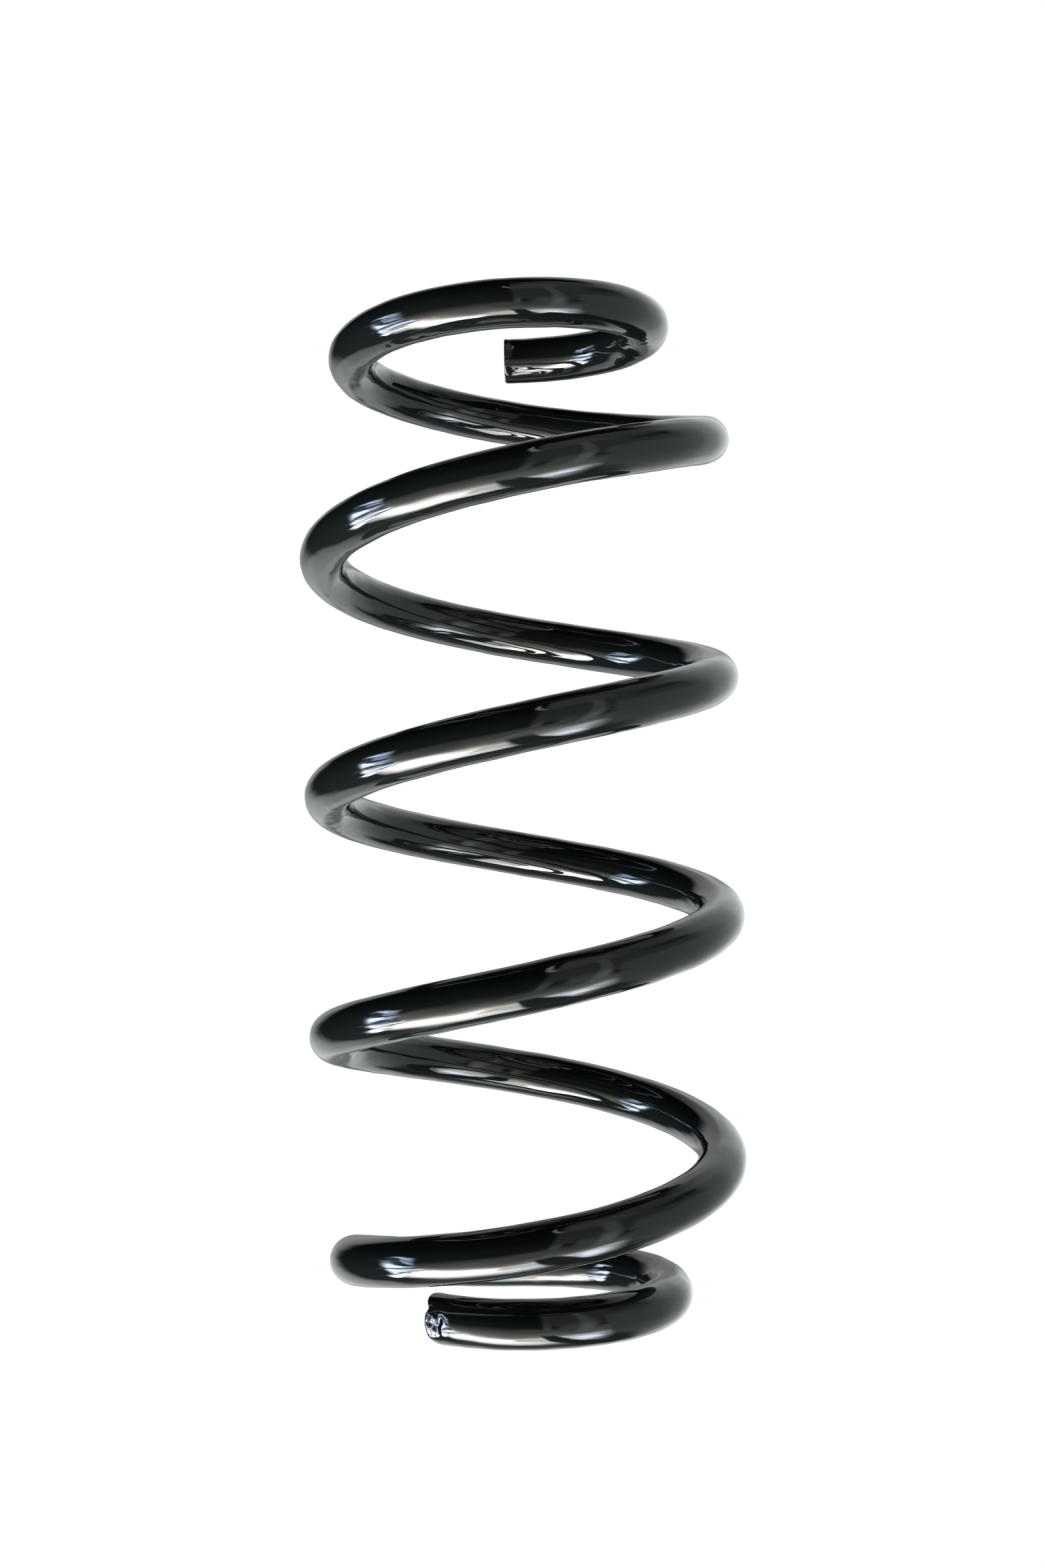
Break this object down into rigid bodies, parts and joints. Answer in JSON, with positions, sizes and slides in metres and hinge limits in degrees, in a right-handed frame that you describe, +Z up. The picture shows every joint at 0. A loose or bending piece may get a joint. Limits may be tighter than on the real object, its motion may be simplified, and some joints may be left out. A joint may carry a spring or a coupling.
{
  "type": "coil spring",
  "caption": "Suspension coil spring of round coated steel bar, wound right-handed with a smaller flat coil at each end. It shortens along its axis as the bar twists.",
  "frame": {"origin": "on the coil axis, at the level the lower end coil stands on", "axes": "+Z up along the coil axis. -Y is the front, which the lower cut end reaches from the left, and the upper cut end is at the back"},
  "size_m": [0.1209, 0.121, 0.281],
  "materials": {
    "black_coating": "gloss black powder coat over spring steel"
  },
  "bodies": {
    "lower_end_coil": {"lower_end_coil": "black_coating"},
    "working_coil_1_back_left": {"working_coil_1_back_left": "black_coating"},
    "working_coil_1_front_left": {"working_coil_1_front_left": "black_coating"},
    "working_coil_1_front_right": {"working_coil_1_front_right": "black_coating"},
    "working_coil_1_back_right": {"working_coil_1_back_right": "black_coating"},
    "working_coil_2_back_left": {"working_coil_2_back_left": "black_coating"},
    "working_coil_2_front_left": {"working_coil_2_front_left": "black_coating"},
    "working_coil_2_front_right": {"working_coil_2_front_right": "black_coating"},
    "working_coil_2_back_right": {"working_coil_2_back_right": "black_coating"},
    "working_coil_3_back_left": {"working_coil_3_back_left": "black_coating"},
    "working_coil_3_front_left": {"working_coil_3_front_left": "black_coating"},
    "working_coil_3_front_right": {"working_coil_3_front_right": "black_coating"},
    "working_coil_3_back_right": {"working_coil_3_back_right": "black_coating"},
    "working_coil_4_back_left": {"working_coil_4_back_left": "black_coating"},
    "working_coil_4_front_left": {"working_coil_4_front_left": "black_coating"},
    "working_coil_4_front_right": {"working_coil_4_front_right": "black_coating"},
    "working_coil_4_back_right": {"working_coil_4_back_right": "black_coating"},
    "working_coil_5_back_left": {"working_coil_5_back_left": "black_coating"},
    "working_coil_5_front_left": {"working_coil_5_front_left": "black_coating"},
    "upper_end_coil": {"upper_end_coil": "black_coating"}
  },
  "joints": [
    {"name": "bar_twist_01", "type": "hinge", "parent": "lower_end_coil", "child": "working_coil_1_back_left", "pos_m": [-0.00581, 0.0424, 0.0065], "axis": [0.9886, 0.0545, 0.1401], "range_deg": [0, 3.51], "stiffness_Nm_per_rad": 6170},
    {"name": "bar_twist_02", "type": "hinge", "parent": "working_coil_1_back_left", "child": "working_coil_1_front_left", "pos_m": [-0.04935, -0.00414, 0.01808], "axis": [-0.047, 0.9989, -0.0094], "range_deg": [0, 6.34], "stiffness_Nm_per_rad": 2970},
    {"name": "bar_twist_03", "type": "hinge", "parent": "working_coil_1_front_left", "child": "working_coil_1_front_right", "pos_m": [0.00161, -0.05125, 0.02909], "axis": [-0.9998, -0.0135, -0.014], "range_deg": [0, 7.18], "stiffness_Nm_per_rad": 2800},
    {"name": "bar_twist_04", "type": "hinge", "parent": "working_coil_1_front_right", "child": "working_coil_1_back_right", "pos_m": [0.05296, -0.00111, 0.04391], "axis": [-0.0419, -0.997, -0.0645], "range_deg": [0, 9.46], "stiffness_Nm_per_rad": 2710},
    {"name": "bar_twist_05", "type": "hinge", "parent": "working_coil_1_back_right", "child": "working_coil_2_back_left", "pos_m": [0.00396, 0.05386, 0.06078], "axis": [0.9959, -0.0736, -0.0531], "range_deg": [0, 9.56], "stiffness_Nm_per_rad": 2660},
    {"name": "bar_twist_06", "type": "hinge", "parent": "working_coil_2_back_left", "child": "working_coil_2_front_left", "pos_m": [-0.05357, 0.00677, 0.07682], "axis": [0.1252, 0.9908, -0.0524], "range_deg": [0, 8.2], "stiffness_Nm_per_rad": 2650},
    {"name": "bar_twist_07", "type": "hinge", "parent": "working_coil_2_front_left", "child": "working_coil_2_front_right", "pos_m": [-0.00956, -0.05315, 0.09284], "axis": [-0.9829, 0.1768, -0.0522], "range_deg": [0, 8.52], "stiffness_Nm_per_rad": 2650},
    {"name": "bar_twist_08", "type": "hinge", "parent": "working_coil_2_front_right", "child": "working_coil_2_back_right", "pos_m": [0.05257, -0.01233, 0.10885], "axis": [-0.228, -0.9723, -0.052], "range_deg": [0, 9.54], "stiffness_Nm_per_rad": 2650},
    {"name": "bar_twist_09", "type": "hinge", "parent": "working_coil_2_back_right", "child": "working_coil_3_back_left", "pos_m": [0.01507, 0.05186, 0.12485], "axis": [0.959, -0.2786, -0.0518], "range_deg": [0, 9.07], "stiffness_Nm_per_rad": 2650},
    {"name": "bar_twist_10", "type": "hinge", "parent": "working_coil_3_back_left", "child": "working_coil_3_front_left", "pos_m": [-0.051, 0.01776, 0.14082], "axis": [0.3284, 0.9431, -0.0516], "range_deg": [0, 8.38], "stiffness_Nm_per_rad": 2650},
    {"name": "bar_twist_11", "type": "hinge", "parent": "working_coil_3_front_left", "child": "working_coil_3_front_right", "pos_m": [-0.0204, -0.05, 0.15677], "axis": [-0.9247, 0.3773, -0.0513], "range_deg": [0, 9.07], "stiffness_Nm_per_rad": 2650},
    {"name": "bar_twist_12", "type": "hinge", "parent": "working_coil_3_front_right", "child": "working_coil_3_back_right", "pos_m": [0.04886, -0.02299, 0.17269], "axis": [-0.4252, -0.9037, -0.051], "range_deg": [0, 9.48], "stiffness_Nm_per_rad": 2650},
    {"name": "bar_twist_13", "type": "hinge", "parent": "working_coil_3_back_right", "child": "working_coil_4_back_left", "pos_m": [0.02552, 0.04759, 0.18859], "axis": [0.8802, -0.4719, -0.0506], "range_deg": [0, 8.52], "stiffness_Nm_per_rad": 2650},
    {"name": "bar_twist_14", "type": "hinge", "parent": "working_coil_4_back_left", "child": "working_coil_4_front_left", "pos_m": [-0.04619, 0.02797, 0.20445], "axis": [0.5174, 0.8543, -0.0503], "range_deg": [0, 8.31], "stiffness_Nm_per_rad": 2650},
    {"name": "compression", "type": "hinge", "parent": "working_coil_4_front_left", "child": "working_coil_4_front_right", "pos_m": [-0.03035, -0.04466, 0.22029], "axis": [-0.8261, 0.5614, -0.0499], "range_deg": [0, 9.6], "stiffness_Nm_per_rad": 2650},
    {"name": "bar_twist_16", "type": "hinge", "parent": "working_coil_4_front_right", "child": "working_coil_4_back_right", "pos_m": [0.04287, -0.03254, 0.23615], "axis": [-0.5887, -0.8065, -0.0552], "range_deg": [0, 9.51], "stiffness_Nm_per_rad": 2690},
    {"name": "bar_twist_17", "type": "hinge", "parent": "working_coil_4_back_right", "child": "working_coil_5_back_left", "pos_m": [0.03294, 0.03898, 0.25181], "axis": [0.7834, -0.6204, -0.0379], "range_deg": [0, 7.09], "stiffness_Nm_per_rad": 2800},
    {"name": "bar_twist_18", "type": "hinge", "parent": "working_coil_5_back_left", "child": "working_coil_5_front_left", "pos_m": [-0.03548, 0.03332, 0.26459], "axis": [0.6498, 0.7598, 0.0208], "range_deg": [0, 6.25], "stiffness_Nm_per_rad": 3040},
    {"name": "bar_twist_19", "type": "hinge", "parent": "working_coil_5_front_left", "child": "upper_end_coil", "pos_m": [-0.02891, -0.02772, 0.27146], "axis": [-0.7789, 0.6237, 0.0663], "range_deg": [0, 3.22], "stiffness_Nm_per_rad": 6420}
  ],
  "couplings": [
    {"joint": "bar_twist_01", "follows": "compression", "ratio": 0.3649},
    {"joint": "bar_twist_02", "follows": "compression", "ratio": 0.6603},
    {"joint": "bar_twist_03", "follows": "compression", "ratio": 0.7471},
    {"joint": "bar_twist_04", "follows": "compression", "ratio": 0.9845},
    {"joint": "bar_twist_05", "follows": "compression", "ratio": 0.9958},
    {"joint": "bar_twist_06", "follows": "compression", "ratio": 0.8541},
    {"joint": "bar_twist_07", "follows": "compression", "ratio": 0.8873},
    {"joint": "bar_twist_08", "follows": "compression", "ratio": 0.9929},
    {"joint": "bar_twist_09", "follows": "compression", "ratio": 0.9444},
    {"joint": "bar_twist_10", "follows": "compression", "ratio": 0.8726},
    {"joint": "bar_twist_11", "follows": "compression", "ratio": 0.9439},
    {"joint": "bar_twist_12", "follows": "compression", "ratio": 0.9872},
    {"joint": "bar_twist_13", "follows": "compression", "ratio": 0.8865},
    {"joint": "bar_twist_14", "follows": "compression", "ratio": 0.8646},
    {"joint": "bar_twist_16", "follows": "compression", "ratio": 0.9898},
    {"joint": "bar_twist_17", "follows": "compression", "ratio": 0.7384},
    {"joint": "bar_twist_18", "follows": "compression", "ratio": 0.6503},
    {"joint": "bar_twist_19", "follows": "compression", "ratio": 0.3346}
  ]
}
